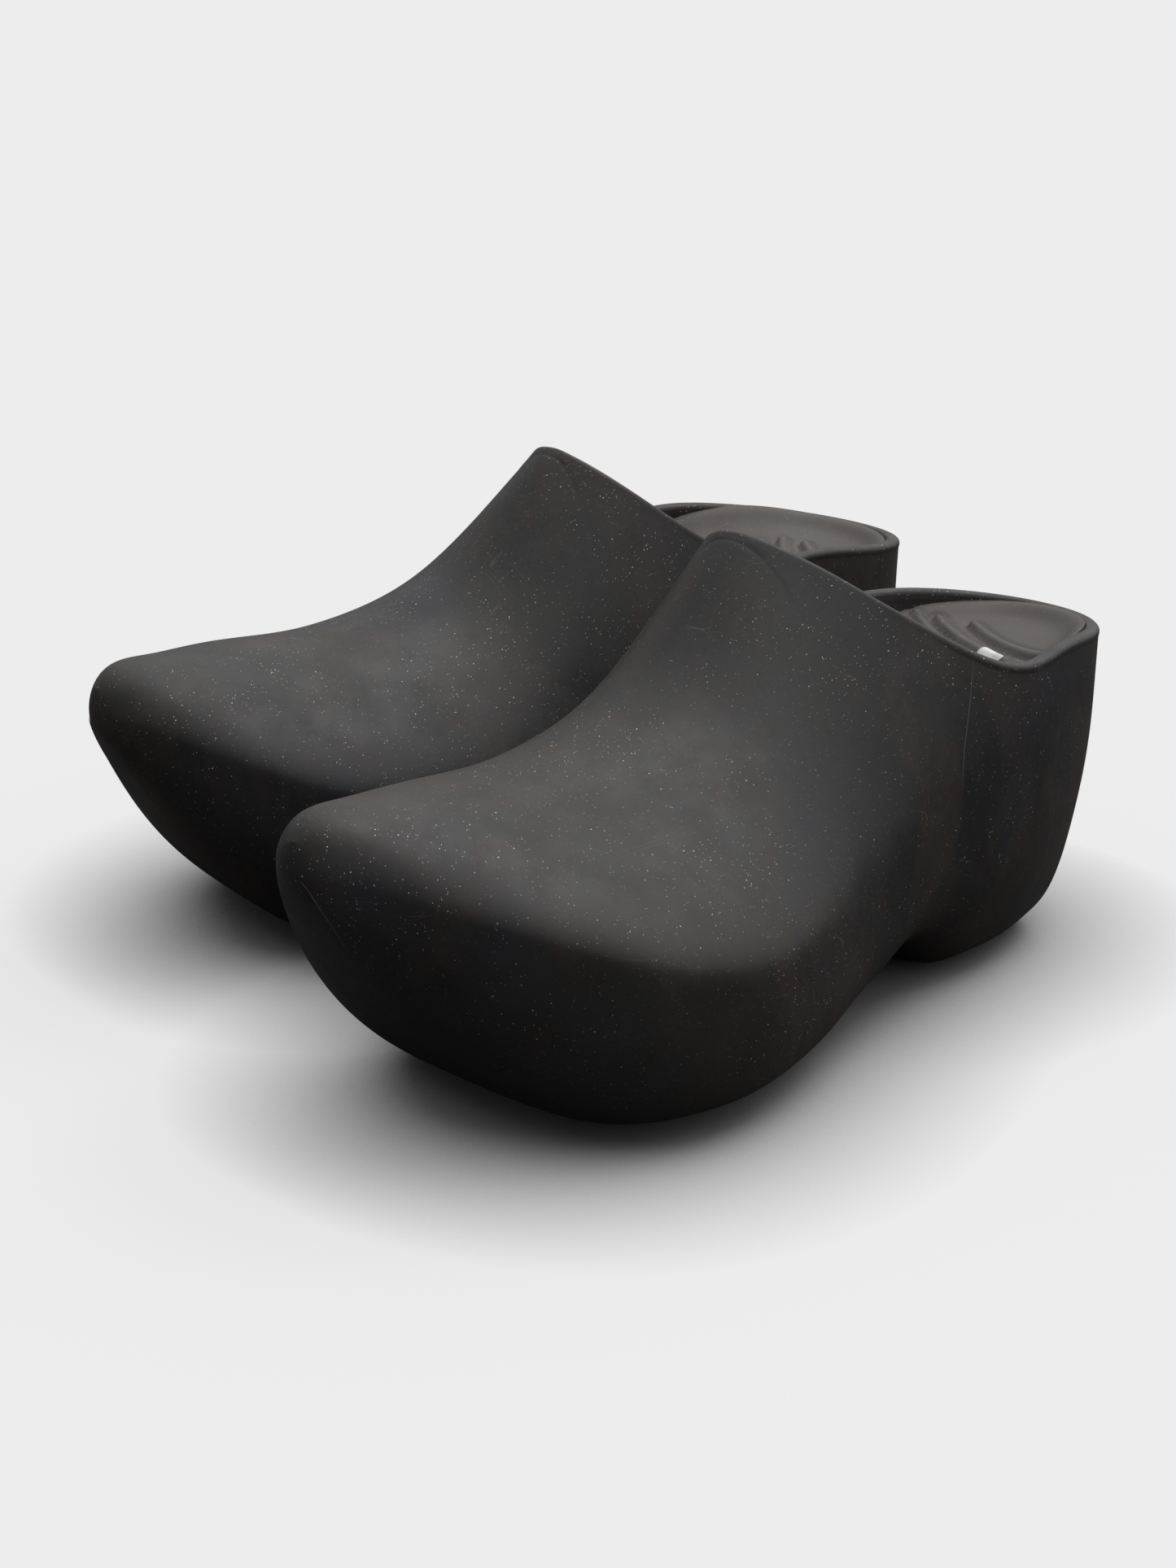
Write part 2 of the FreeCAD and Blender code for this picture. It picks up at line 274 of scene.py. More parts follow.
def shell_mesh():
    """Closed wall: outer and inner skin joined by the rounded rim along the collar."""
    throat_y = throat_station(RIM_DROP)
    rows = shell_rows(throat_y)
    count = len(rows)
    throat = next(i for i, y in enumerate(rows) if abs(y - throat_y) < 1e-6)
    y = np.array(rows)
    ends = collar_phi(y, RIM_DROP)
    js = list(range(-COLUMNS, COLUMNS + 1))
    outer = np.zeros((count, len(js), 3))
    normal = np.zeros_like(outer)
    for k, j in enumerate(js):
        side = 1 if j >= 0 else -1
        phi = column_phi(abs(j) / COLUMNS, HALF_PI - ends[0 if side > 0 else 1])
        outer[:, k] = skin(y, side, phi)
        normal[:, k] = skin_normal(y, side, phi)
    # the toe's front is a short line on the middle plane that bends round the tip
    tip = skin(TOE_Y, 1, 0.0)
    for k, j in enumerate(js):
        t = math.sin(-HALF_PI + math.pi * abs(j) / COLUMNS)
        s = 1 - 0.03 * t * t
        station = NOSE_END - NOSE_LENGTH * s
        phi = HALF_PI if t > 0 else -HALF_PI
        outer[0, k] = tip if abs(t) < 1e-9 else skin(station, 1, phi)
        normal[0, k] = unit(np.array([0, -1 + 0.6 * abs(t), 0.9 * t]))
    inner = outer - normal * WALL
    inner[0, :, 1] = outer[0, :, 1] + WALL

    def key(i, j):
        """Grid cell that stands for (i, j) where columns meet on the middle plane."""
        if i == 0 or i == count - 1:
            j = abs(j)
        if j == -COLUMNS and i <= throat:
            j = COLUMNS
        return i, j

    # rim: frames along the collar loop
    loop = [(throat, COLUMNS)] + [(i, COLUMNS) for i in range(throat + 1, count)]
    loop += [(i, -COLUMNS) for i in range(count - 2, throat, -1)]
    edge = np.array([outer[i, j + COLUMNS] for i, j in loop])
    out = np.array([normal[i, j + COLUMNS] for i, j in loop])
    tangent = unit(np.roll(edge, -1, 0) - np.roll(edge, 1, 0))
    out = unit(out - tangent * np.sum(out * tangent, 1, keepdims=True))
    up = np.cross(tangent, out)
    up *= np.sign(up[:, 2:3])
    bead = smooth(BEAD_FROM, BEAD_TO, edge[:, 1])
    width = RIM_WIDTH + RIM_BEAD * bead
    height = width * RIM_DEPTH
    base = edge + up * RIM_BASE
    zero = np.zeros_like(bead)
    # round the rim from the outer skin over the top to the inner skin: (outward, upward)
    ring = [
        (zero, zero - RIM_BASE),
        (zero, zero - 0.55),
        (0.2 * bead, zero + 0.1),
        (0.25 * bead, 0.5 * height),
        (-0.10 * width, 0.88 * height),
        (-0.32 * width, 1.03 * height),
        (-0.68 * width, 1.03 * height),
        (-0.90 * width, 0.88 * height),
        (-width, 0.45 * height),
        (-width, 0.05 * height),
        (-width - 0.1, zero - 0.5),
        (zero - WALL - 0.1, zero - 1.4),
    ]
    rings = [base + out * a[:, None] + up * b[:, None] for a, b in ring]

    points, index = [], {}

    def vertex(tag, place):
        """Number of the vertex called tag, made at place the first time."""
        if tag not in index:
            index[tag] = len(points)
            points.append(place)
        return index[tag]

    for n, (i, j) in enumerate(loop):
        vertex(("out",) + key(i, j), rings[0][n])
        vertex(("in",) + key(i, j), rings[-1][n])
    faces = []
    for tag, grid, flip in (("out", outer, False), ("in", inner, True)):
        for i in range(count - 1):
            for k in range(len(js) - 1):
                cell = ((i, k), (i, k + 1), (i + 1, k + 1), (i + 1, k))
                quad = [vertex((tag,) + key(a, js[b]), grid[a, b]) for a, b in cell]
                faces.append(tuple(reversed(quad)) if flip else tuple(quad))
    previous = [index[("out",) + key(i, j)] for i, j in loop]
    for r in range(1, len(ring) - 1):
        row = [vertex(("rim", r, n), rings[r][n]) for n in range(len(loop))]
        faces += strip(previous, row, True)
        previous = row
    faces += strip(previous, [index[("in",) + key(i, j)] for i, j in loop], True)
    return points, faces


# ------------------------------------------------------------------ ribbed footbed
CHORD_STEPS = 90           # samples up the inner wall when the footbed's edge is sought
CHORD_GAP = 0.5            # clearance of the footbed from the wall


def chord(y, ease):
    """Left and right ends of the footbed's top across the clog at station y."""
    y = np.atleast_1d(np.asarray(y, float))
    ends = collar_phi(y)
    found = []
    for side, end in ((1, ends[0]), (-1, ends[1])):
        u = np.linspace(0, 1, CHORD_STEPS)[None, :]
        phi = -HALF_PI + (end[:, None] + HALF_PI) * u
        p = skin(y[:, None], side, phi) - WALL * skin_normal(y[:, None], side, phi)
        gap = p[..., 2] - bed_height(p[..., 0], p[..., 1])
        rows = []
        for r in range(len(y)):
            over = np.nonzero(gap[r] > 0)[0]
            k = max(int(over[0]), 1) if len(over) else gap.shape[1] - 1
            t = np.clip(-gap[r, k - 1] / max(gap[r, k] - gap[r, k - 1], 1e-6), 0, 1)
            rows.append(p[r, k - 1] * (1 - t) + p[r, k] * t)
        found.append(np.array(rows))
    right, left = found
    middle = (right + left) / 2
    pull = CHORD_GAP + profile((-150, 20, 95, 150), (ease, ease, 0, 0), y)
    half = np.maximum(np.linalg.norm((right - left)[:, :2], axis=1) / 2, 1e-6)
    share = np.maximum(half - pull, 0.0) / half
    share = share[:, None]
    return middle + (left - middle) * share, middle + (right - middle) * share


RIBS = {                   # middle lines of the raised bars on the heel of each footbed
    "left": (((-5.6, 126.7), (3.6, 121.7), (20.9, 112.7), (37, 103)),
             ((-15, 121.4), (-5, 117), (8.4, 111.4), (22, 104)),
             ((-20, 116.7), (-10, 113.2), (3, 107), (14, 100))),
    "right": (((14.2, 124.2), (3.9, 119.7), (-9.2, 115.9), (-21.7, 115.9)),
              ((20.7, 119.5), (12, 113.5), (-2, 109), (-16, 108)),
              ((24, 112.5), (16, 106.5), (3, 102), (-9, 101))),
}
RIB_HALF, RIB_HIGH = 1.9, 1.3              # half width and height of a bar
RIB_GROOVE = (0.6, 0.65, 0.8)              # distance from the bar, width, depth
EDGE_LIP = (0.8, 4.5, 2.6)                 # flat part, width and height of the upturned edge


def curve_samples(points, count):
    """Points along a smooth curve through the stated points."""
    knots = np.arange(len(points), dtype=float)
    at = np.linspace(0, knots[-1], count)
    return np.stack([profile(knots, [p[0] for p in points], at),
                     profile(knots, [p[1] for p in points], at)], 1)


def distance_to(points, line):
    """Shortest plan distance from every point to a sampled line."""
    best = np.full(len(points), 1e9)
    for q in line:
        best = np.minimum(best, (points[:, 0] - q[0]) ** 2 + (points[:, 1] - q[1]) ** 2)
    return np.sqrt(best)


def footbed_top(xy, outline, which):
    """Height of the footbed: hollow heel, upturned edge and raised bars with grooves."""
    z = bed_height(xy[:, 0], xy[:, 1])
    heel = smooth(10, 75, xy[:, 1])
    edge = distance_to(xy, outline)
    flat, wide, high = EDGE_LIP
    z -= high * heel * (1 - np.exp(-(np.maximum(edge - flat, 0) / wide) ** 2))
    off, wide, deep = RIB_GROOVE
    for rib in RIBS[which]:
        d = distance_to(xy, curve_samples(rib, 90))
        z += RIB_HIGH * np.sqrt(np.clip(1 - (d / RIB_HALF) ** 2, 0, 1))
        z -= deep * np.exp(-((d - RIB_HALF - off) / wide) ** 2)
    return z


def footbed_rows():
    """Stations of the footbed: fine at the rounded ends and round the bars."""
    y = np.linspace(-140, HEEL_Y, 400)
    left, right = chord(y, INSOLE_EASE)
    wide = np.linalg.norm(left - right, axis=1)
    first = y[np.nonzero(wide > 4)[0][0]]
    toe = [first + 30 * (1 - math.cos(HALF_PI * i / 14)) for i in range(15)]
    middle = list(np.arange(toe[-1] + 2.4, 40, 2.4))
    heel_start = middle[-1]
    count = int((HEEL_START - heel_start) / 0.8)
    run = [heel_start + (HEEL_START - heel_start) * (i + 1) / count for i in range(count)]
    end = [HEEL_START + HEEL_LENGTH * math.sin(HALF_PI * i / 52) for i in range(1, 51)]
    return np.array(toe + middle + run + end)


BED_COLUMNS = 96
# the rounded edge as (drop, inward move) from the border of the top
BED_EDGE = ((0.25, -0.25), (0.9, -0.3), (INSOLE_THICK - 0.6, 0.35), (INSOLE_THICK, 1.2))


def footbed_mesh(which):
    """Closed footbed: shaped top, rounded edge and plain underside; also its outline."""
    y = footbed_rows()
    left, right = chord(y, INSOLE_EASE)
    outline = np.concatenate([left[:, :2], right[::-1, :2]])
    even = np.linspace(0, 1, BED_COLUMNS + 1)
    u = ((1 - np.cos(math.pi * even)) / 2 + even) / 2
    grid = left[:, None] * (1 - u)[None, :, None] + right[:, None] * u[None, :, None]
    flat = grid.reshape(-1, 3)
    flat[:, 2] = footbed_top(flat[:, :2], outline, which)
    top = flat.reshape(grid.shape)
    rows, cols = top.shape[:2]
    points = top.reshape(-1, 3).tolist()
    faces = []
    for i in range(rows - 1):
        for k in range(cols - 1):
            a = i * cols + k
            faces.append((a, a + 1, a + cols + 1, a + cols))
    # round the border of the top, then down the rounded edge as (drop, inward move)
    ring = list(range(cols))
    ring += [i * cols + cols - 1 for i in range(1, rows)]
    ring += [(rows - 1) * cols + k for k in range(cols - 2, -1, -1)]
    ring += [i * cols for i in range(rows - 2, 0, -1)]
    edge = np.array([points[i] for i in ring])
    centre = np.stack([profile(SECTION_Y, CENTRE_X, edge[:, 1]), np.clip(edge[:, 1], -90, 100)], 1)
    inward = centre - edge[:, :2]
    inward /= np.maximum(np.linalg.norm(inward, axis=1, keepdims=True), 1e-6)
    previous = ring
    for drop, move in BED_EDGE:
        start = len(points)
        loop = edge.copy()
        loop[:, :2] += inward * move
        loop[:, 2] -= drop
        points += loop.tolist()
        row = list(range(start, start + len(ring)))
        faces += strip(previous, row, True)
        previous = row
    start = len(points)
    under = top.copy()
    under[..., 2] = bed_height(top[..., 0], top[..., 1]) - INSOLE_THICK
    middle = (left + right) / 2
    for i in range(rows):
        under[i, :, :2] = middle[i, :2] + (under[i, :, :2] - middle[i, :2]) * 0.97
    points += under[1:-1, 1:-1].reshape(-1, 3).tolist()

    def low(i, k):
        """Index on the underside, whose border is the last ring of the edge."""
        if i == 0:
            return previous[k]
        if k == cols - 1:
            return previous[cols - 1 + i]
        if i == rows - 1:
            return previous[cols - 1 + (rows - 1) + (cols - 1 - k)]
        if k == 0:
            return previous[len(ring) - i]
        return start + (i - 1) * (cols - 2) + (k - 1)

    for i in range(rows - 1):
        for k in range(cols - 1):
            faces.append((low(i, k), low(i + 1, k), low(i + 1, k + 1), low(i, k + 1)))
    return points, faces, outline


# ------------------------------------------------------------------ foam core, treads, label
SOLE_EXTRA = 3.0           # the sole is up to this much thicker than the wall
CORE_GAP = 0.5             # clearance of the foam from the rubber and the footbed
CORE_COLUMNS = 16


def core_mesh():
    """Foam that fills the sole between the rubber and the footbed."""
    y = np.concatenate([np.linspace(-128, -100, 8), np.linspace(-92, HEEL_START, 26),
                        HEEL_START + HEEL_LENGTH * np.sin(np.linspace(0.2, 1.45, 7))])
    roof_drop = INSOLE_THICK + CORE_GAP
    ends = collar_phi(y)
    rings = []
    for r, station in enumerate(y):
        sides = []
        for side, end in ((1, ends[0][r]), (-1, ends[1][r])):
            phi = np.linspace(-HALF_PI, end, 120)
            p = skin(station, side, phi) - (WALL + CORE_GAP) * skin_normal(station, side, phi)
            p[:, 2] += SOLE_EXTRA * np.clip(np.cos(phi + HALF_PI), 0, 1)
            over = p[:, 2] > bed_height(p[:, 0], p[:, 1]) - roof_drop
            stop = int(np.argmax(over)) if np.any(over) else len(phi) - 1
            pick = np.linspace(0, max(stop - 1, 3), CORE_COLUMNS // 2 + 1).astype(int)
            sides.append(p[pick])
        low_row = np.concatenate([sides[1][::-1], sides[0][1:]])
        t = np.linspace(0, 1, CORE_COLUMNS + 1)[1:-1, None]
        roof_row = sides[0][-1] * (1 - t) + sides[1][-1] * t
        roof_row[:, 2] = bed_height(roof_row[:, 0], roof_row[:, 1]) - roof_drop
        rings.append(np.concatenate([low_row, roof_row]))
    size = len(rings[0])
    points = np.concatenate(rings).tolist()
    faces = []
    for r in range(len(rings) - 1):
        a = list(range(r * size, (r + 1) * size))
        faces += strip(a, [i + size for i in a], True)
    for r, first in ((0, 0), (len(rings) - 1, (len(rings) - 1) * size)):
        centre = len(points)
        points.append(rings[r].mean(0).tolist())
        faces += [(first + i, first + (i + 1) % size, centre) for i in range(size)]
    return points, faces


def tube_faces(first, steps, sides):
    """Faces of a closed tube whose rings follow each other from vertex first on."""
    faces = []
    for k in range(steps):
        row = list(range(first + k * sides, first + (k + 1) * sides))
        faces += strip(row, [i + sides for i in row], True)
    faces.append(tuple(reversed(range(first, first + sides))))
    faces.append(tuple(range(first + steps * sides, first + (steps + 1) * sides)))
    return faces


def rounded_plate(cx, cy, half, long_half, corner, levels, steps=7):
    """Closed plate from a rounded rectangle: levels are (height, inset) from bottom to top."""
    outline = []
    for sx, sy, start in ((1, 1, 0), (-1, 1, 90), (-1, -1, 180), (1, -1, 270)):
        for i in range(steps):
            a = math.radians(start + 90 * i / (steps - 1))
            outline.append((sx, sy, math.cos(a), math.sin(a)))
    points, faces, rows = [], [], []
    for z, inset in levels:
        radius = max(corner - inset, 0.2)
        row = []
        for sx, sy, c, s in outline:
            row.append(len(points))
            x = cx + sx * (half - corner) + radius * c
            y = cy + sy * (long_half - corner) + radius * s
            points.append((x, y, z))
        rows.append(row)
    for a, b in zip(rows, rows[1:]):
        faces += strip(a, b, True)
    faces.append(tuple(reversed(rows[0])))
    faces.append(tuple(rows[-1]))
    return points, faces


FORE_TREAD, HEEL_TREAD = (8, -51, 32, 66), (5, 88, 25, 46)    # middle x, y, half width, length
TREAD_CORNER, TREAD_PITCH = 17.0, 6.6
# heights of the base plate with how far each is set in from its outline
TREAD_LEVELS = ((1.1, 0.9), (1.5, 0.2), (3.6, 0.0), (3.95, 0.3))
BAR_SIDES, BAR_STEPS = 8, 30


def tread_mesh(cx, cy, half, length):
    """Tread pad: a base plate with rounded, wavy cross bars that stand on the ground."""
    points, faces = rounded_plate(cx, cy, half, length / 2, TREAD_CORNER, TREAD_LEVELS)
    bars = int((length - 8) / TREAD_PITCH)
    for i in range(bars):
        y = cy + (i - (bars - 1) / 2) * TREAD_PITCH
        into = max(0.0, abs(y - cy) - (length / 2 - TREAD_CORNER))
        corner = TREAD_CORNER - math.sqrt(max(TREAD_CORNER ** 2 - into ** 2, 0.0))
        reach = half - 3 - corner
        first = len(points)
        for k in range(BAR_STEPS + 1):
            x = -reach + 2 * reach * k / BAR_STEPS
            taper = min(1.0, math.sqrt(max(1 - (abs(x) / reach) ** 8, 0.0)) + 0.12)
            wave = 0.8 * math.sin(x / 5.5)
            for m in range(BAR_SIDES):
                a = 2 * math.pi * (m + 0.5) / BAR_SIDES
                along = 1.9 * taper * math.cos(a)
                rise = 0.88 * taper * max(-1, min(1, 1.35 * math.sin(a)))
                points.append((cx + x, y + wave + along, 0.9 + rise))
        faces += tube_faces(first, BAR_STEPS, BAR_SIDES)
    return points, faces


LABEL = (21.0, 14.5, 0.35)                 # length, width, thickness
LABEL_PLACE = (11.0, 99.0, 59.0)           # x, y and turn in degrees
LABEL_CORNER = 1.6
LABEL_CELLS = (24, 16)


def label_mesh(outline):
    """Thin blank label that follows the hollow of the footbed."""
    length, width, thick = LABEL
    lx, ly, turn = LABEL_PLACE
    a = math.radians(turn)
    n, m = LABEL_CELLS
    inner_x, inner_y = length / 2 - LABEL_CORNER, width / 2 - LABEL_CORNER
    points = []
    for level in (0.0, thick):
        for i in range(n + 1):
            for k in range(m + 1):
                x = -length / 2 + length * i / n
                y = -width / 2 + width * k / m
                over_x, over_y = abs(x) - inner_x, abs(y) - inner_y
                if over_x > 0 and over_y > 0:
                    fit = max(over_x, over_y) / math.hypot(over_x, over_y)
                    x = math.copysign(inner_x + over_x * fit, x)
                    y = math.copysign(inner_y + over_y * fit, y)
                points.append((lx + x * math.cos(a) - y * math.sin(a),
                               ly + x * math.sin(a) + y * math.cos(a), level))
    p = np.array(points)
    p[:, 2] += footbed_top(p[:, :2], outline, "left") + 0.05
    faces = []
    per = (n + 1) * (m + 1)
    for i in range(n):
        for k in range(m):
            q = i * (m + 1) + k
            faces.append((q, q + 1, q + m + 2, q + m + 1))
            faces.append((q + per, q + m + 1 + per, q + m + 2 + per, q + 1 + per))
    border = list(range(m + 1))
    border += [i * (m + 1) + m for i in range(1, n + 1)]
    border += [n * (m + 1) + k for k in range(m - 1, -1, -1)]
    border += [i * (m + 1) for i in range(n - 1, 0, -1)]
    faces += strip(border, [b + per for b in border], True)
    return p, faces


FLASH_TRACKS = (           # (station y, side, phi) runs of the mould lines
    ((55.6, 1, 0.47), (52.7, 1, 0.38), (48, 1, 0.23), (45.5, 1, 0.09)),
    ((-149.2, 1, -0.35), (-146, 1, -0.9), (-138, 1, -1.35)),
)
FLASH_RADIUS, FLASH_SAMPLES, FLASH_SIDES = 0.22, 60, 6
FLASH_FORM = (1.3, 0.8, -0.35)             # half width, half height and level, in radii


def flash_line(track):
    """Thin mould line half sunk in the skin; track holds (y, side, phi) stations."""
    knots = np.arange(len(track), dtype=float)
    at = np.linspace(0, knots[-1], FLASH_SAMPLES)
    y = profile(knots, [t[0] for t in track], at)
    phi = profile(knots, [t[2] for t in track], at)
    side = track[0][1]
    line = skin(y, side, phi)
    out = skin_normal(y, side, phi)
    along = unit(np.gradient(line, axis=0))
    across = unit(np.cross(along, out))
    fade = np.sqrt(np.clip(np.sin(np.linspace(0, math.pi, FLASH_SAMPLES)), 0.02, 1))
    radius = (FLASH_RADIUS * fade)[:, None]
    wide, high, level = FLASH_FORM
    points = []
    for m in range(FLASH_SIDES):
        a = 2 * math.pi * m / FLASH_SIDES
        offset = across * wide * math.cos(a) + out * (high * math.sin(a) + level)
        points.append(line + offset * radius)
    points = np.stack(points, 1).reshape(-1, 3)
    return points.tolist(), tube_faces(0, FLASH_SAMPLES - 1, FLASH_SIDES)


def joined(parts):
    """One mesh from several (points, faces) meshes."""
    points, faces = [], []
    for p, f in parts:
        first = len(points)
        points += list(p)
        faces += [tuple(i + first for i in q) for q in f]
    return points, faces


# ------------------------------------------------------------------ materials
NO_STRETCH = (1, 1, 1)


class Graph:
    """Short hand for building a material's node tree."""

    def __init__(self, name):
        self.material = bpy.data.materials.new(name)
        self.material.use_nodes = True
        self.tree = self.material.node_tree
        self.tree.nodes.clear()
        self.shader = self.node("ShaderNodeBsdfPrincipled")
        out = self.node("ShaderNodeOutputMaterial")
        self.link(self.shader.outputs[0], out.inputs["Surface"])
        coords = self.node("ShaderNodeTexCoord")
        self.where = coords.outputs["Object"]
        split = self.node("ShaderNodeSeparateXYZ")
        self.link(coords.outputs["Normal"], split.inputs[0])
        self.up = split.outputs["Z"]

    def node(self, kind, **settings):
        made = self.tree.nodes.new(kind)
        for key, value in settings.items():
            setattr(made, key, value)
        return made

    def link(self, a, b):
        self.tree.links.new(a, b)

    def put(self, socket, value):
        """Link the value if it is a socket, otherwise set it."""
        if isinstance(value, bpy.types.NodeSocket):
            self.link(value, socket)
        else:
            socket.default_value = value

    def noise(self, scale, detail=3.0, rough=0.55, where=None, distortion=0.0):
        """Cloudy pattern from 0 to 1, features about 1 / scale metres across."""
        made = self.node("ShaderNodeTexNoise")
        self.link(where or self.where, made.inputs["Vector"])
        for key, value in (("Scale", scale), ("Detail", detail), ("Roughness", rough),
                           ("Distortion", distortion)):
            made.inputs[key].default_value = value
        return made.outputs["Fac"]

    def turned(self, scale, turn):
        """The piece's own coordinates, stretched and turned by degrees."""
        made = self.node("ShaderNodeMapping")
        self.link(self.where, made.inputs["Vector"])
        made.inputs["Scale"].default_value = scale
        made.inputs["Rotation"].default_value = [math.radians(t) for t in turn]
        return made.outputs["Vector"]

    def ramp(self, value, low, high, to_low=0.0, to_high=1.0):
        """Soft step of value between low and high."""
        made = self.node("ShaderNodeMapRange", interpolation_type="SMOOTHSTEP")
        for key, v in (("Value", value), ("From Min", low), ("From Max", high),
                       ("To Min", to_low), ("To Max", to_high)):
            self.put(made.inputs[key], v)
        return made.outputs["Result"]

    def math(self, operation, a, b=0.0, clamp=False):
        made = self.node("ShaderNodeMath", operation=operation, use_clamp=clamp)
        self.put(made.inputs[0], a)
        self.put(made.inputs[1], b)
        return made.outputs[0]

    def mix(self, factor, a, b):
        made = self.node("ShaderNodeMix", data_type="RGBA")
        self.put(made.inputs["Factor"], factor)
        for socket, value in ((made.inputs[6], a), (made.inputs[7], b)):
            self.put(socket, value if isinstance(value, bpy.types.NodeSocket) else (*value, 1.0))
        return made.outputs[2]

    def specks(self, scale, size, share):
        """Small scattered dots: cell size 1 / scale, a share of the cells holds one."""
        cells = self.node("ShaderNodeTexVoronoi")
        self.link(self.where, cells.inputs["Vector"])
        cells.inputs["Scale"].default_value = scale
        split = self.node("ShaderNodeSeparateColor")
        self.link(cells.outputs["Color"], split.inputs[0])
        limit = self.math("MULTIPLY", split.outputs[1], size)
        near = self.math("SUBTRACT", limit, cells.outputs["Distance"])
        dot = self.ramp(near, 0.0, size * 0.3)
        return self.math("MULTIPLY", dot, self.math("GREATER_THAN", split.outputs[0], 1 - share))

    def scratches(self, turn, stretch, scale, width, low):
        """Thin lines where a stretched noise crosses its middle, kept to some areas."""
        lines = self.noise(scale, 0.0, 0.4, self.turned(stretch, turn))
        thin = self.math("ABSOLUTE", self.math("SUBTRACT", lines, 0.5))
        where = self.noise(34.0, 2.0, 0.5, self.turned(NO_STRETCH, (turn[2], 20, 40)))
        return self.math("MULTIPLY", self.ramp(thin, 0.0, width, 1.0, 0.0),
                         self.ramp(where, low, low + 0.08))

    def bump(self, height, strength, distance, base=None):
        """Fine relief on top of the relief called base."""
        made = self.node("ShaderNodeBump")
        made.inputs["Strength"].default_value = strength
        made.inputs["Distance"].default_value = distance
        self.link(height, made.inputs["Height"])
        if base:
            self.link(base, made.inputs["Normal"])
        return made.outputs[0]


BROWN_STAIN, BROWN_SHARE = (0.034, 0.0215, 0.0165), 0.45
BLUE_STAIN, BLUE_SHARE = (0.0165, 0.0185, 0.0250), 0.42
SPECK_COLOUR = (0.46, 0.45, 0.43)
SPECK_LAYERS = (           # scale, size in cells, share of the cells with a speck, strength
    (520.0, 0.13, 0.44, 1.0),
    (210.0, 0.055, 0.22, 1.0),
    (1000.0, 0.21, 0.30, 1.0),
    (1500.0, 0.30, 0.30, 0.5),
)
SCRATCH_LAYERS = (         # turn, stretch, scale, line width, level above which they show
    ((12, 0, 24), (0.35, 8, 2), 20.0, 0.0030, 0.54),
    ((0, 30, -50), (8, 0.4, 2), 18.0, 0.0028, 0.56),
    ((40, 10, 80), (0.4, 5, 9), 24.0, 0.0028, 0.55),
)
SCRATCH_SHARE = 0.4


def strongest(g, layers):
    """The largest of several patterns at each point."""
    most = layers[0]
    for layer in layers[1:]:
        most = g.math("MAXIMUM", most, layer)
    return most


def worn_rubber(name, dark, warm, dust_and_top_light_colour, dust_and_top_light_share, rough, specular, specks=1.0):
    """Matte moulded rubber with a pale dusty coat on upward faces that is also painted top light,
    stains, specks and scratches.
    """
    g = Graph(name)
    broad = g.noise(11.0, 3.0, 0.5)
    cool = g.noise(17.0, 4.0, 0.6, g.turned(NO_STRETCH, (70, 20, 130)))
    cloud = g.noise(52.0, 5.0, 0.62)
    patches = g.noise(30.0, 5.0, 0.65, g.turned((1.0, 1.0, 0.45), (25, 0, 50)), 0.6)
    grain = g.noise(1500.0, 2.0, 0.6)
    pores = g.noise(420.0, 3.0, 0.7)
    colour = g.mix(g.ramp(broad, 0.44, 0.70, 0.0, 0.6), dark, warm)
    colour = g.mix(g.ramp(cloud, 0.35, 0.75, 0.0, 0.45), colour, [c * 1.55 for c in dark])
    # painted light: the pale coat is strongest on upward faces; it stands for dust and also for
    # painted light on the tops
    upward_dust_and_top_light = g.ramp(g.up, 0.0, 1.0)
    dust_and_top_light_film = g.math("MULTIPLY", upward_dust_and_top_light, g.ramp(cloud, 0.32, 0.70, 0.30, 1.25))
    dust_and_top_light_film = g.math("MULTIPLY", dust_and_top_light_film, g.ramp(pores, 0.3, 0.7, 0.65, 1.3))
    colour = g.mix(g.math("MULTIPLY", dust_and_top_light_film, dust_and_top_light_share), colour, dust_and_top_light_colour)
    tint = g.math("MULTIPLY", g.ramp(patches, 0.47, 0.62), g.ramp(pores, 0.3, 0.6, 0.5, 1.0))
    colour = g.mix(g.math("MULTIPLY", tint, BROWN_SHARE * specks), colour, BROWN_STAIN)
    blue = g.math("MULTIPLY", g.ramp(cool, 0.49, 0.64), BLUE_SHARE * specks)
    colour = g.mix(blue, colour, BLUE_STAIN)
    lines = strongest(g, [g.scratches(*layer) for layer in SCRATCH_LAYERS])
    colour = g.mix(g.math("MULTIPLY", lines, SCRATCH_SHARE), colour, [c * 1.2 for c in dust_and_top_light_colour])
    dots = [g.math("MULTIPLY", g.specks(scale, size, share), strength)
            for scale, size, share, strength in SPECK_LAYERS]
    dots = strongest(g, dots)
    gather = g.math("MULTIPLY", g.ramp(g.noise(24.0, 3.0, 0.6), 0.36, 0.60, 0.22, 1.0),
                    g.ramp(g.up, -0.6, 0.4, 0.35, 1.0))
    dots = g.math("MULTIPLY", dots, g.math("MULTIPLY", gather, specks))
    colour = g.mix(dots, colour, SPECK_COLOUR)
    g.link(colour, g.shader.inputs["Base Color"])
    roughness = g.math("ADD", g.ramp(cloud, 0.3, 0.7, rough - 0.05, rough + 0.07),
                       g.math("MULTIPLY", dust_and_top_light_film, 0.10))
    roughness = g.math("ADD", roughness, g.math("MULTIPLY", dots, 0.2), True)
    g.link(roughness, g.shader.inputs["Roughness"])
    g.shader.inputs["Specular IOR Level"].default_value = specular
    relief = g.bump(cloud, 0.16, 0.0006)
    relief = g.bump(pores, 0.12, 0.00025, relief)
    relief = g.bump(grain, 0.20, 0.00006, relief)
    relief = g.bump(g.math("SUBTRACT", dots, lines), 0.25, 0.0001, relief)
    g.link(relief, g.shader.inputs["Normal"])
    return g.material


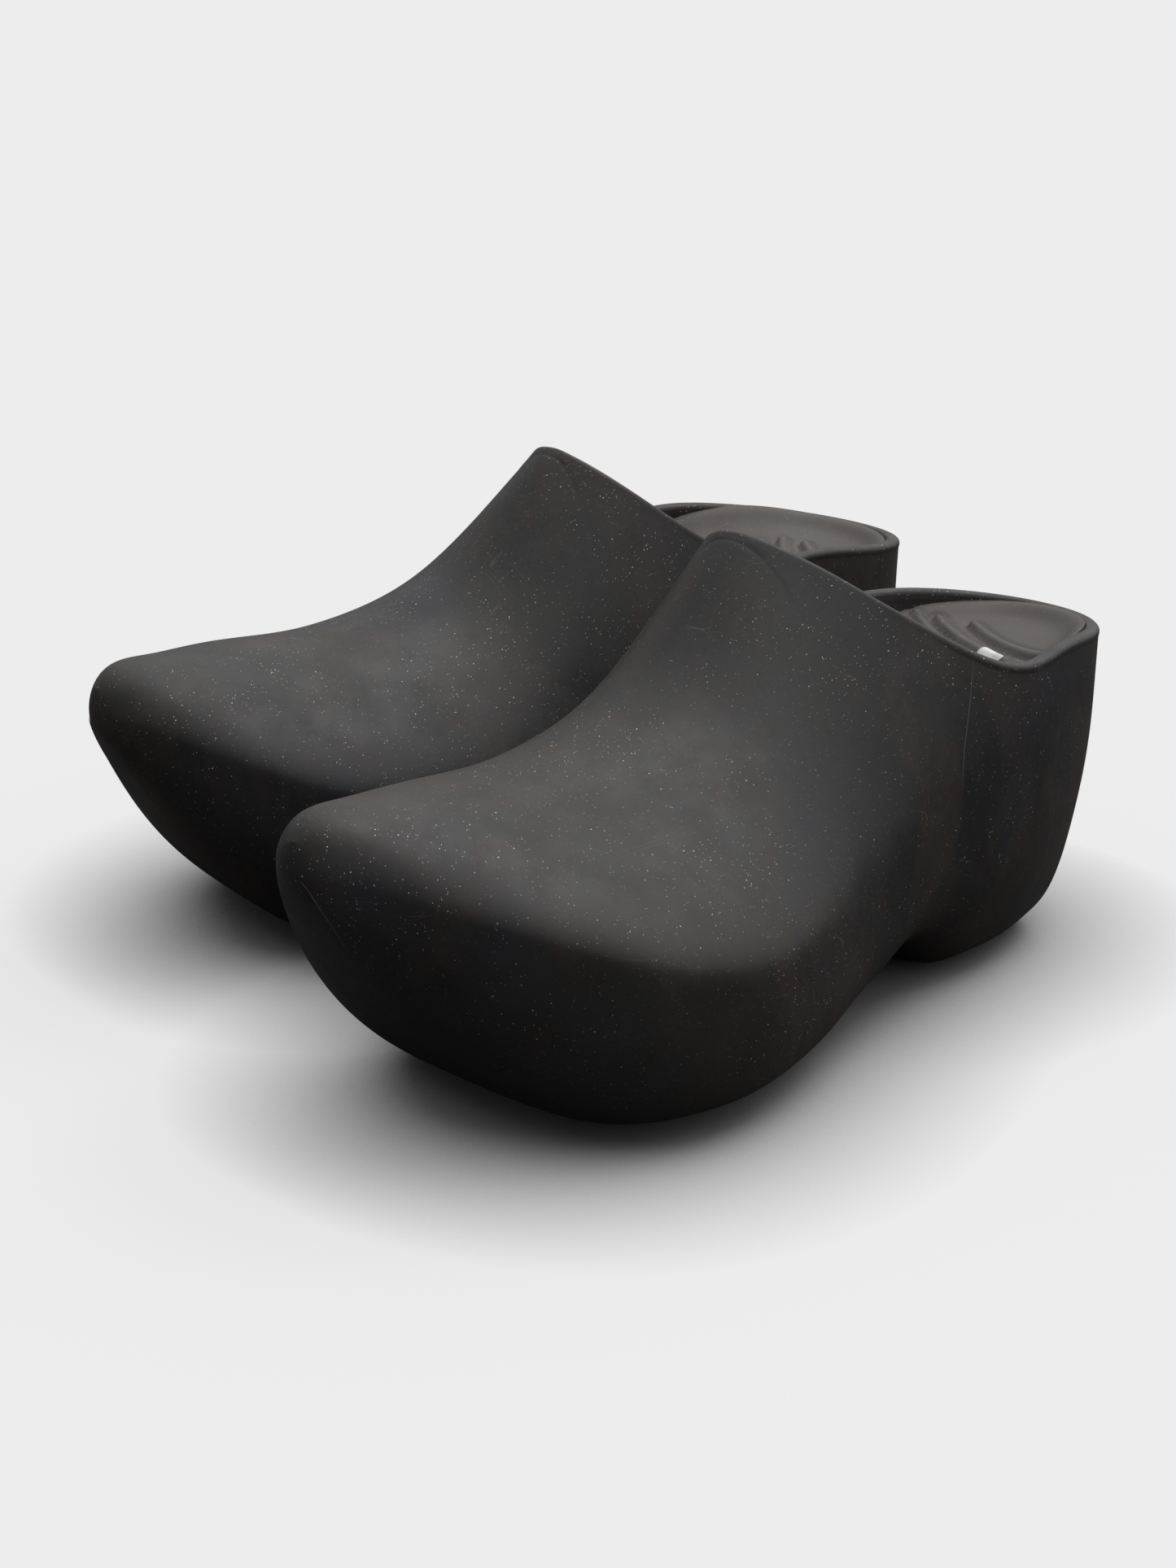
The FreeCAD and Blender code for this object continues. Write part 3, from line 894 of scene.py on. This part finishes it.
def paper(name):
    """Off-white label paper, a little stained."""
    g = Graph(name)
    fibres = g.noise(900.0, 4.0, 0.7)
    stain = g.noise(120.0, 3.0, 0.6)
    colour = g.mix(g.ramp(stain, 0.35, 0.75), (0.50, 0.495, 0.475), (0.36, 0.345, 0.32))
    colour = g.mix(g.specks(700.0, 0.18, 0.12), colour, (0.10, 0.09, 0.08))
    g.link(colour, g.shader.inputs["Base Color"])
    g.link(g.ramp(fibres, 0.3, 0.7, 0.55, 0.72), g.shader.inputs["Roughness"])
    g.link(g.bump(fibres, 0.25, 0.0001), g.shader.inputs["Normal"])
    return g.material


def foam(name):
    """Dark foam with open cells."""
    g = Graph(name)
    cells = g.node("ShaderNodeTexVoronoi")
    g.link(g.where, cells.inputs["Vector"])
    cells.inputs["Scale"].default_value = 700.0
    # painted shade: each open cell is darker towards its middle, the low pit of its bump
    painted_pit_shade = g.ramp(cells.outputs["Distance"], 0.1, 0.7)
    colour = g.mix(painted_pit_shade, (0.05, 0.05, 0.052), (0.13, 0.13, 0.13))
    g.link(colour, g.shader.inputs["Base Color"])
    g.link(g.ramp(g.noise(80.0), 0.3, 0.7, 0.75, 0.9), g.shader.inputs["Roughness"])
    g.link(g.bump(cells.outputs["Distance"], 0.6, 0.0004), g.shader.inputs["Normal"])
    return g.material


SHELL_RUBBER = worn_rubber(
    "shell_rubber", dark=(0.0100, 0.0098, 0.0098), warm=(0.0175, 0.0145, 0.0125),
    dust_and_top_light_colour=(0.060, 0.056, 0.053), dust_and_top_light_share=0.20, rough=0.45, specular=0.24)
FOOTBED_RUBBER = worn_rubber(
    "footbed_rubber", dark=(0.028, 0.025, 0.0235), warm=(0.040, 0.034, 0.031),
    dust_and_top_light_colour=(0.098, 0.080, 0.072), dust_and_top_light_share=0.40, rough=0.52, specular=0.30, specks=0.35)
TREAD_RUBBER = worn_rubber(
    "tread_rubber", dark=(0.018, 0.018, 0.018), warm=(0.030, 0.027, 0.024),
    dust_and_top_light_colour=(0.09, 0.082, 0.073), dust_and_top_light_share=0.30, rough=0.62, specular=0.30, specks=0.6)
FLASH_RUBBER = worn_rubber(
    "flash_rubber", dark=(0.032, 0.031, 0.031), warm=(0.050, 0.044, 0.040),
    dust_and_top_light_colour=(0.12, 0.112, 0.105), dust_and_top_light_share=0.35, rough=0.55, specular=0.35, specks=0.8)
LABEL_PAPER = paper("label_paper")
CORE_FOAM = foam("core_foam")

# ------------------------------------------------------------------ the pair
shell_points, shell_faces = shell_mesh()
beds = {which: footbed_mesh(which) for which in ("left", "right")}
core_points, core_faces = core_mesh()
fore_tread = tread_mesh(*FORE_TREAD)
heel_tread = tread_mesh(*HEEL_TREAD)
flash = joined([flash_line(track) for track in FLASH_TRACKS])
label_points, label_faces = label_mesh(beds["left"][2])

for which in ("left", "right"):
    clog, bed = which + "_clog", which + "_footbed"
    # name, mesh, subdivision levels, material, body, slot and the CAD node it stands for
    wanted = [
        ("shell_moulding", shell_points, shell_faces, 2, SHELL_RUBBER, clog,
         "moulded_rubber", "shell"),
        ("ribbed_footbed", *beds[which][:2], 0, FOOTBED_RUBBER, bed, "footbed", "insole"),
        ("foam_core", core_points, core_faces, 1, CORE_FOAM, clog, "midsole_foam", "midsole_core"),
        ("forefoot_tread", *fore_tread, 0, TREAD_RUBBER, clog, "tread_rubber", "forefoot_outsole"),
        ("heel_tread", *heel_tread, 0, TREAD_RUBBER, clog, "tread_rubber", "heel_outsole"),
        ("mould_lines", *flash, 0, FLASH_RUBBER, clog, "moulded_rubber", None),
    ]
    if which == "left":
        wanted.append(("blank_label", label_points, label_faces, 0, LABEL_PAPER, bed,
                       "blank_label", "size_label"))
    for name, points, faces, levels, material, body, slot, node in wanted:
        piece = make_piece(which + "_" + name, which, points, faces, levels, material)
        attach(piece, body)
        if node:
            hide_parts(which + "_" + node)

# ------------------------------------------------------------------ floor, light, camera
FLOOR_REACH = 40.0
BACKDROP = 0.847                           # brightness of the background
FLOOR_GLOW = 0.05                          # the floor throws little light up at the clogs
FLOOR_LIT, FLOOR_PAINTED_GLOW = 0.130, 0.623       # parts of the floor's brightness: lit, and a painted glow seen by the camera
PAINTED_SHADOW_REACH, PAINTED_SHADOW_FROM = 0.055, 0.28        # the painted glow fades within this distance of a clog, a painted contact shadow

corners = [(x * FLOOR_REACH, y * FLOOR_REACH, 0) for x, y in ((-1, -1), (1, -1), (1, 1), (-1, 1))]
floor_mesh = bpy.data.meshes.new("floor")
floor_mesh.from_pydata(corners, [], [(0, 1, 2, 3)])
floor = bpy.data.objects.new("floor", floor_mesh)
bpy.context.scene.collection.objects.link(floor)
paint = bpy.data.materials.new("floor_paint")
paint.use_nodes = True
tree = paint.node_tree
matt = tree.nodes["Principled BSDF"]
matt.inputs["Roughness"].default_value = 1.0
matt.inputs["Specular IOR Level"].default_value = 0.0
seen = tree.nodes.new("ShaderNodeLightPath").outputs["Is Camera Ray"]
shade = tree.nodes.new("ShaderNodeMix")
shade.data_type = "RGBA"
shade.inputs[6].default_value = (FLOOR_GLOW,) * 3 + (1,)
shade.inputs[7].default_value = (FLOOR_LIT,) * 3 + (1,)
tree.links.new(seen, shade.inputs["Factor"])
tree.links.new(shade.outputs[2], matt.inputs["Base Color"])
# painted light: seen by the camera the open floor glows and the nooks under the soles do not, a
# painted contact shadow made from ambient occlusion
painted_shadow_ao = tree.nodes.new("ShaderNodeAmbientOcclusion")
painted_shadow_ao.samples = 16
painted_shadow_ao.inputs["Distance"].default_value = PAINTED_SHADOW_REACH
glow_out_of_painted_shadow = tree.nodes.new("ShaderNodeMapRange")
glow_out_of_painted_shadow.inputs["From Min"].default_value = PAINTED_SHADOW_FROM
tree.links.new(painted_shadow_ao.outputs["AO"], glow_out_of_painted_shadow.inputs["Value"])
camera_glow = tree.nodes.new("ShaderNodeMath")
camera_glow.operation = "MULTIPLY"
tree.links.new(glow_out_of_painted_shadow.outputs["Result"], camera_glow.inputs[0])
tree.links.new(seen, camera_glow.inputs[1])
power = tree.nodes.new("ShaderNodeMath")
power.operation = "MULTIPLY"
power.inputs[1].default_value = FLOOR_PAINTED_GLOW
tree.links.new(camera_glow.outputs[0], power.inputs[0])
matt.inputs["Emission Color"].default_value = (1, 1, 1, 1)
tree.links.new(power.outputs[0], matt.inputs["Emission Strength"])
floor_mesh.materials.append(paint)

# studio dome: bright overhead and a little behind, darker near the ground
LIGHT_FROM = Vector((0.10, 0.40, 1.0)).normalized()
DOME_LOW, DOME_LIGHT, DOME_EDGE, DOME_FULL = 0.42, 1.7, 0.20, 0.90
world = bpy.data.worlds.new("studio")
bpy.context.scene.world = world
world.use_nodes = True
tree = world.node_tree
direction = tree.nodes.new("ShaderNodeTexCoord").outputs["Generated"]
dot = tree.nodes.new("ShaderNodeVectorMath")
dot.operation = "DOT_PRODUCT"
tree.links.new(direction, dot.inputs[0])
dot.inputs[1].default_value = LIGHT_FROM
dome = tree.nodes.new("ShaderNodeMapRange")
dome.interpolation_type = "SMOOTHSTEP"
tree.links.new(dot.outputs["Value"], dome.inputs["Value"])
for key, value in (("From Min", DOME_EDGE), ("From Max", DOME_FULL),
                   ("To Min", DOME_LOW), ("To Max", DOME_LIGHT)):
    dome.inputs[key].default_value = value
choice = tree.nodes.new("ShaderNodeMix")
choice.data_type = "FLOAT"
seen = tree.nodes.new("ShaderNodeLightPath").outputs["Is Camera Ray"]
tree.links.new(seen, choice.inputs["Factor"])
tree.links.new(dome.outputs["Result"], choice.inputs[2])
choice.inputs[3].default_value = BACKDROP
tree.nodes["Background"].inputs["Color"].default_value = (1, 1, 1, 1)
tree.links.new(choice.outputs[0], tree.nodes["Background"].inputs["Strength"])


def soft_sun(name, strength, spread, towards):
    """Very large soft light far away, shining along the stated direction."""
    light = bpy.data.lights.new(name, "SUN")
    light.energy = strength
    light.angle = math.radians(spread)
    lamp = bpy.data.objects.new(name, light)
    lamp.rotation_euler = Vector(towards).to_track_quat("-Z", "Y").to_euler()
    bpy.context.scene.collection.objects.link(lamp)


soft_sun("overhead", 1.60, 50.0, -LIGHT_FROM)
soft_sun("side", 0.30, 60.0, (-0.9, 0.1, -0.40))

# the camera looks from the toe's outer side, a little from above
CAM_AZIMUTH, CAM_HEIGHT_ANGLE = math.radians(44.39), math.radians(19.43)
CAM_DISTANCE, CAM_LENS = 0.7986, 65.3306               # metres, mm on a 36 mm sensor
CAM_LEFT, CAM_UP = 0.034415, 0.013154                  # sideways and upward move in metres
CAM_TARGET = Vector((0.06261, -0.01878, 0.0522))       # over the middle of the left clog
back = Vector((math.sin(CAM_AZIMUTH) * math.cos(CAM_HEIGHT_ANGLE),
               -math.cos(CAM_AZIMUTH) * math.cos(CAM_HEIGHT_ANGLE), math.sin(CAM_HEIGHT_ANGLE)))
right = Vector((math.cos(CAM_AZIMUTH), math.sin(CAM_AZIMUTH), 0))
upward = back.cross(right)
camera_data = bpy.data.cameras.new("camera")
camera_data.lens = CAM_LENS
camera_data.sensor_width = 36
camera_data.clip_start, camera_data.clip_end = 0.01, 200
camera = bpy.data.objects.new("camera", camera_data)
camera.location = CAM_TARGET + back * CAM_DISTANCE - right * CAM_LEFT + upward * CAM_UP
camera.rotation_euler = (-back).to_track_quat("-Z", "Y").to_euler()
bpy.context.scene.collection.objects.link(camera)
bpy.context.scene.camera = camera
bpy.context.scene.view_settings.view_transform = "Standard"
